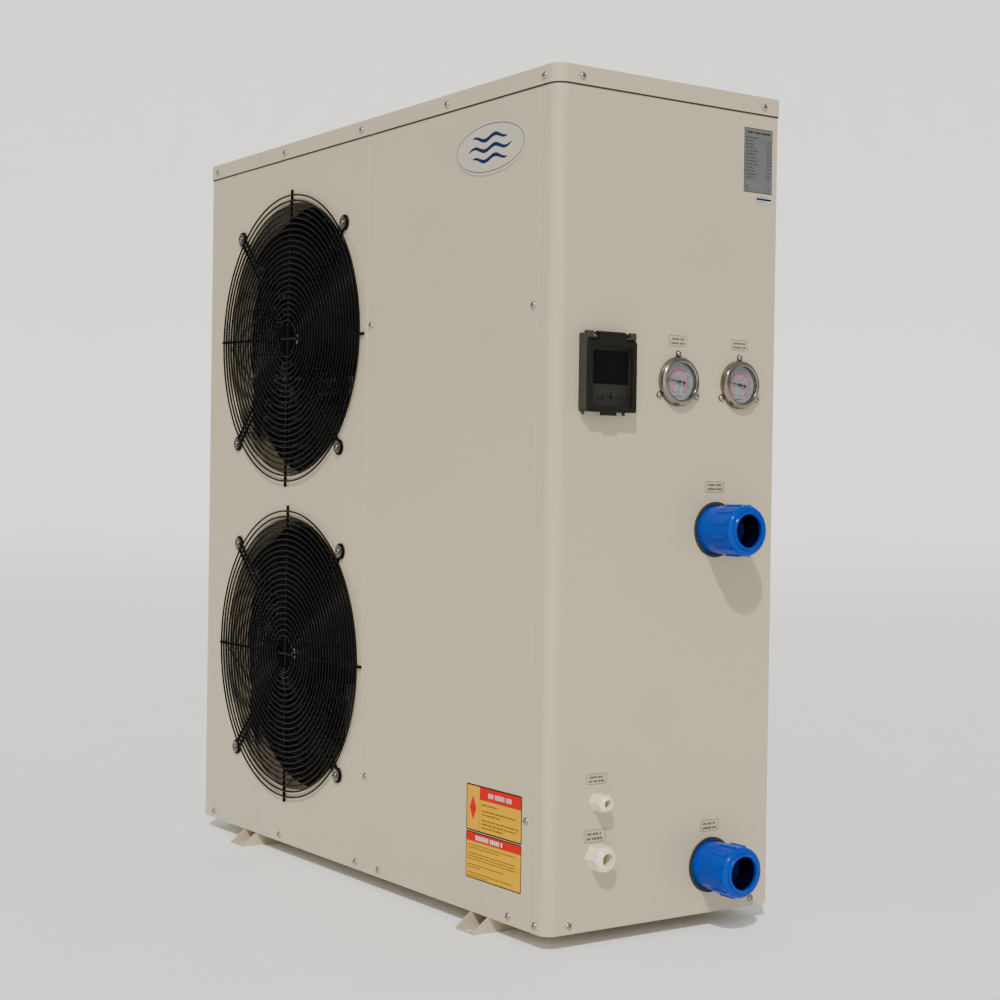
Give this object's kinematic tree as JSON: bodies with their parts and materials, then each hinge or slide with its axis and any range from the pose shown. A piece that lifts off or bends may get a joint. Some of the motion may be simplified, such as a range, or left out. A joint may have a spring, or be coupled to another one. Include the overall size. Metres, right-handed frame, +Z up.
{
  "type": "pool heat pump unit",
  "caption": "Tall side-blowing pool heat pump cabinet with stacked fans behind ring guards, pressure gauges, a covered controller, water unions and cable glands.",
  "frame": {"origin": "on the ground, at the centre of the four anchor holes in the foot rails", "axes": "+Z up, the fans blow towards -Y, the service side with controller, gauges and water unions faces +X"},
  "size_m": [1.1973, 0.4786, 1.2675],
  "materials": {
    "beige_paint": "satin powder coat",
    "galvanised_beige": "powder coat outside, zinc inside",
    "galvanised_steel": "galvanised",
    "black_wire": "semi-gloss dip coat",
    "fan_plastic": "moulded",
    "bright_steel": "turned",
    "motor_paint": "satin",
    "fin_aluminium": "thin fins",
    "compressor_paint": "semi-gloss",
    "black_rubber": "matte",
    "brass": "plain",
    "copper": "drawn copper",
    "vessel_pvc": "moulded",
    "titanium": "drawn",
    "blue_pvc": "glossy",
    "black_plastic": "moulded satin",
    "grey_plastic": "moulded",
    "board_green": "solder mask",
    "smoked_cover": "smoked polycarbonate",
    "display_glass": "dark window",
    "key_plastic": "rubber-like",
    "polished_steel": "polished",
    "dial_face": "printed",
    "clear_glass": "clear",
    "needle_black": "painted",
    "cream_nylon": "moulded",
    "label_film": "printed film",
    "badge_film": "domed resin",
    "screw_steel": "stainless"
  },
  "bodies": {
    "cabinet": {"foot_rails": "galvanised_beige", "base_pan": "beige_paint", "top_lid": "beige_paint", "fan_panel": "beige_paint", "service_front_panel": "beige_paint", "side_panel": "beige_paint", "rear_panel": "beige_paint", "partition_panel": "galvanised_steel", "corner_post": "beige_paint", "coil_guard_rear": "black_wire", "coil_guard_left": "black_wire", "fan_guard_upper": "black_wire", "fan_guard_lower": "black_wire", "fan_motors": "motor_paint", "motor_bracket": "galvanised_steel", "evaporator_coil": "fin_aluminium", "compressors": "compressor_paint", "compressor_grommets": "black_rubber", "accumulators": "compressor_paint", "four_way_valves": "brass", "discharge_pipes": "copper", "suction_pipes": "copper", "coil_pipes": "copper", "heat_exchanger_shell": "vessel_pvc", "titanium_coils": "titanium", "water_pipes": "blue_pvc", "flow_switch": "black_plastic", "electrical_box": "galvanised_steel", "contactors": "grey_plastic", "control_board": "board_green", "controller_case": "black_plastic", "cover_hinge_pin": "black_plastic", "display_window": "display_glass", "gauge_cases": "polished_steel", "gauge_dials": "dial_face", "gauge_lenses": "clear_glass", "union_bodies": "blue_pvc", "union_tails": "blue_pvc", "gland_bodies": "cream_nylon", "label_plates": "label_film", "badge": "badge_film", "panel_screws": "screw_steel", "guard_screws": "screw_steel"},
    "fan_rotor_upper": {"fan_upper": "fan_plastic", "fan_shaft_upper": "bright_steel"},
    "fan_rotor_lower": {"fan_lower": "fan_plastic", "fan_shaft_lower": "bright_steel"},
    "controller_cover": {"controller_cover": "smoked_cover"},
    "gauge_needle_left": {"gauge_needle_left": "needle_black"},
    "gauge_needle_right": {"gauge_needle_right": "needle_black"},
    "union_nut_upper": {"union_nut_upper": "blue_pvc"},
    "union_nut_lower": {"union_nut_lower": "blue_pvc"},
    "gland_cap_small": {"gland_cap_small": "cream_nylon"},
    "gland_cap_large": {"gland_cap_large": "cream_nylon"},
    "key_1": {"key_1": "key_plastic"},
    "key_2": {"key_2": "key_plastic"},
    "key_3": {"key_3": "key_plastic"},
    "key_4": {"key_4": "key_plastic"},
    "key_5": {"key_5": "key_plastic"},
    "key_6": {"key_6": "key_plastic"}
  },
  "joints": [
    {"name": "fan_spin_upper", "type": "hinge", "parent": "cabinet", "child": "fan_rotor_upper", "pos_m": [-0.25, -0.1675, 0.9195], "axis": [0, -1, 0], "continuous": true},
    {"name": "fan_spin_lower", "type": "hinge", "parent": "cabinet", "child": "fan_rotor_lower", "pos_m": [-0.2445, -0.1675, 0.3605], "axis": [0, -1, 0], "continuous": true},
    {"name": "cover_flip", "type": "hinge", "parent": "cabinet", "child": "controller_cover", "pos_m": [0.56, -0.1225, 0.8855], "axis": [0, -1, 0], "range_deg": [0, 160]},
    {"name": "key_press_1", "type": "slide", "parent": "cabinet", "child": "key_1", "axis": [-1, 0, 0], "range_m": [0, 0.001], "stiffness_N_per_m": 400},
    {"name": "key_press_2", "type": "slide", "parent": "cabinet", "child": "key_2", "axis": [-1, 0, 0], "range_m": [0, 0.001], "stiffness_N_per_m": 400},
    {"name": "key_press_3", "type": "slide", "parent": "cabinet", "child": "key_3", "axis": [-1, 0, 0], "range_m": [0, 0.001], "stiffness_N_per_m": 400},
    {"name": "key_press_4", "type": "slide", "parent": "cabinet", "child": "key_4", "axis": [-1, 0, 0], "range_m": [0, 0.001], "stiffness_N_per_m": 400},
    {"name": "key_press_5", "type": "slide", "parent": "cabinet", "child": "key_5", "axis": [-1, 0, 0], "range_m": [0, 0.001], "stiffness_N_per_m": 400},
    {"name": "key_press_6", "type": "slide", "parent": "cabinet", "child": "key_6", "axis": [-1, 0, 0], "range_m": [0, 0.001], "stiffness_N_per_m": 400},
    {"name": "needle_swing_left", "type": "hinge", "parent": "cabinet", "child": "gauge_needle_left", "pos_m": [0.549, 0.017, 0.8235], "axis": [-1, 0, 0], "range_deg": [-54, 216], "stiffness_Nm_per_rad": 0.005},
    {"name": "needle_swing_right", "type": "hinge", "parent": "cabinet", "child": "gauge_needle_right", "pos_m": [0.549, 0.138, 0.8235], "axis": [-1, 0, 0], "range_deg": [-54, 216], "stiffness_Nm_per_rad": 0.005},
    {"name": "nut_turn_upper", "type": "hinge", "parent": "cabinet", "child": "union_nut_upper", "pos_m": [0.5995, 0.095, 0.6035], "axis": [1, 0, 0], "continuous": true},
    {"name": "nut_turn_lower", "type": "hinge", "parent": "cabinet", "child": "union_nut_lower", "pos_m": [0.5995, 0.095, 0.096], "axis": [1, 0, 0], "continuous": true},
    {"name": "cap_turn_small", "type": "hinge", "parent": "cabinet", "child": "gland_cap_small", "pos_m": [0.5595, -0.1235, 0.2105], "axis": [1, 0, 0], "continuous": true},
    {"name": "cap_turn_large", "type": "hinge", "parent": "cabinet", "child": "gland_cap_large", "pos_m": [0.5595, -0.1235, 0.1303], "axis": [1, 0, 0], "continuous": true}
  ]
}
